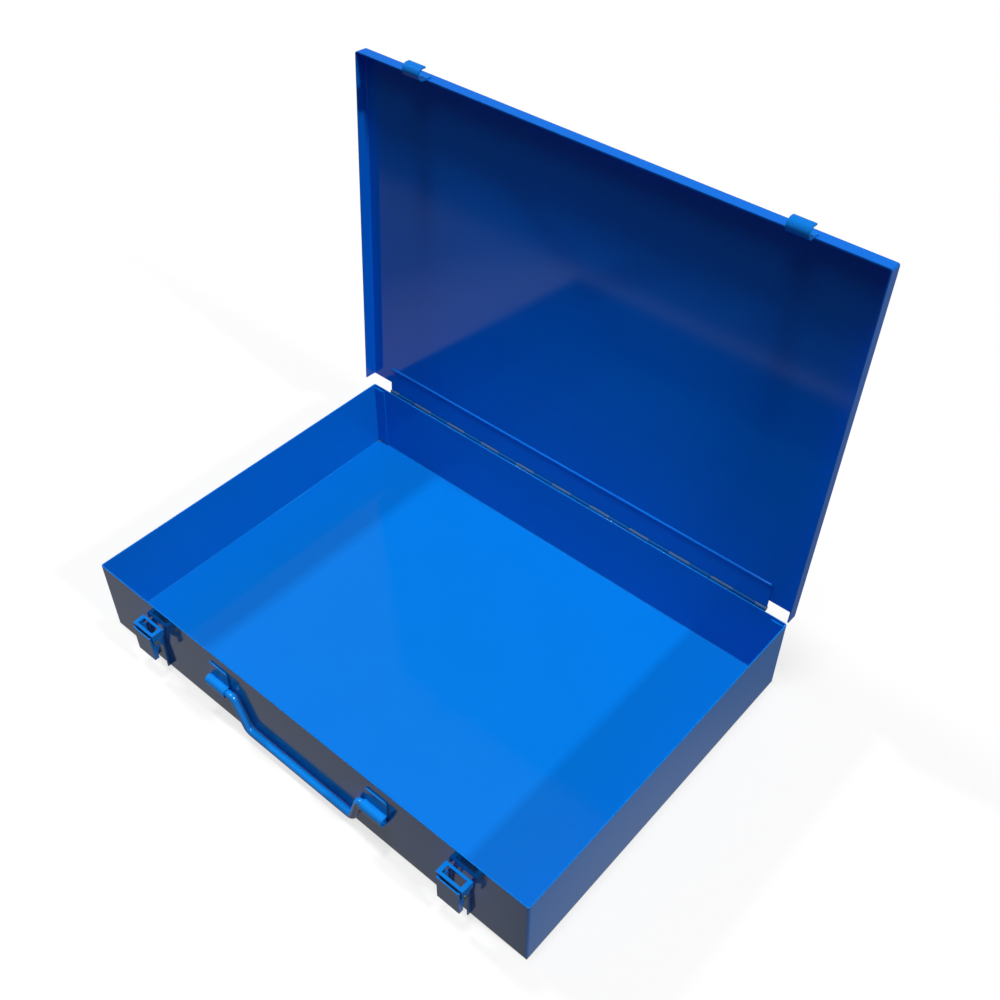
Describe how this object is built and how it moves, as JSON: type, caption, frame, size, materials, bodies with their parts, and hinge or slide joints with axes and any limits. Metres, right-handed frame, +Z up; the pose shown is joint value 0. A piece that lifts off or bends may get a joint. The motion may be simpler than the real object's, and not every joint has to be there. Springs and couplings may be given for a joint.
{
  "type": "drill bit case",
  "caption": "Shallow folded-steel case with a piano-hinged lid standing open, draw latches and a drop wire handle on the front, for keeping drill bits",
  "frame": {"origin": "centre of the tray's flat underside", "axes": "+X along the length to the right seen from the front, -Y towards the front with handle and latches, +Z up"},
  "size_m": [0.446, 0.3399, 0.3898],
  "materials": {
    "tray_enamel": "gloss stove enamel on folded sheet steel",
    "lid_enamel": "gloss stove enamel on folded sheet steel",
    "handle_enamel": "gloss stove enamel on round steel wire",
    "bracket_enamel": "gloss stove enamel on pressed sheet steel",
    "latch_enamel": "gloss stove enamel on pressed sheet steel",
    "catch_enamel": "gloss stove enamel on pressed sheet steel",
    "hinge_enamel": "gloss stove enamel on rolled sheet steel",
    "pin_steel": "plated steel wire and rivet heads"
  },
  "bodies": {
    "tray": {"base_tray": "tray_enamel", "hinge_leaf_base": "hinge_enamel", "hinge_pin": "pin_steel", "handle_bracket_left": "bracket_enamel", "handle_bracket_right": "bracket_enamel", "latch_base_left": "latch_enamel", "latch_base_right": "latch_enamel", "lever_pin_left": "pin_steel", "lever_pin_right": "pin_steel"},
    "lid": {"lid_shell": "lid_enamel", "hinge_leaf_lid": "hinge_enamel", "lid_catch_left": "catch_enamel", "lid_catch_right": "catch_enamel"},
    "handle": {"carry_handle": "handle_enamel"},
    "lever_left": {"latch_lever_left": "latch_enamel", "claw_pin_left": "pin_steel"},
    "claw_left": {"latch_claw_left": "latch_enamel"},
    "lever_right": {"latch_lever_right": "latch_enamel", "claw_pin_right": "pin_steel"},
    "claw_right": {"latch_claw_right": "latch_enamel"}
  },
  "joints": [
    {"name": "lid_hinge", "type": "hinge", "parent": "tray", "child": "lid", "pos_m": [0, 0.15415, 0.0697], "axis": [-1, 0, 0], "range_deg": [-93.5, 0]},
    {"name": "handle_swing", "type": "hinge", "parent": "tray", "child": "handle", "pos_m": [0.003, -0.1556, 0.0395], "axis": [-1, 0, 0], "range_deg": [0, 150]},
    {"name": "lever_left_pull", "type": "hinge", "parent": "tray", "child": "lever_left", "pos_m": [-0.157, -0.162, 0.0458], "axis": [-1, 0, 0], "range_deg": [0, 120]},
    {"name": "claw_left_swing", "type": "hinge", "parent": "lever_left", "child": "claw_left", "pos_m": [-0.157, -0.1612, 0.0416], "axis": [-1, 0, 0], "range_deg": [-120, 0]},
    {"name": "lever_right_pull", "type": "hinge", "parent": "tray", "child": "lever_right", "pos_m": [0.163, -0.162, 0.0458], "axis": [-1, 0, 0], "range_deg": [0, 120]},
    {"name": "claw_right_swing", "type": "hinge", "parent": "lever_right", "child": "claw_right", "pos_m": [0.163, -0.1612, 0.0416], "axis": [-1, 0, 0], "range_deg": [-120, 0]}
  ],
  "couplings": [
    {"joint": "claw_left_swing", "follows": "lever_left_pull", "ratio": -1},
    {"joint": "claw_right_swing", "follows": "lever_right_pull", "ratio": -1}
  ]
}
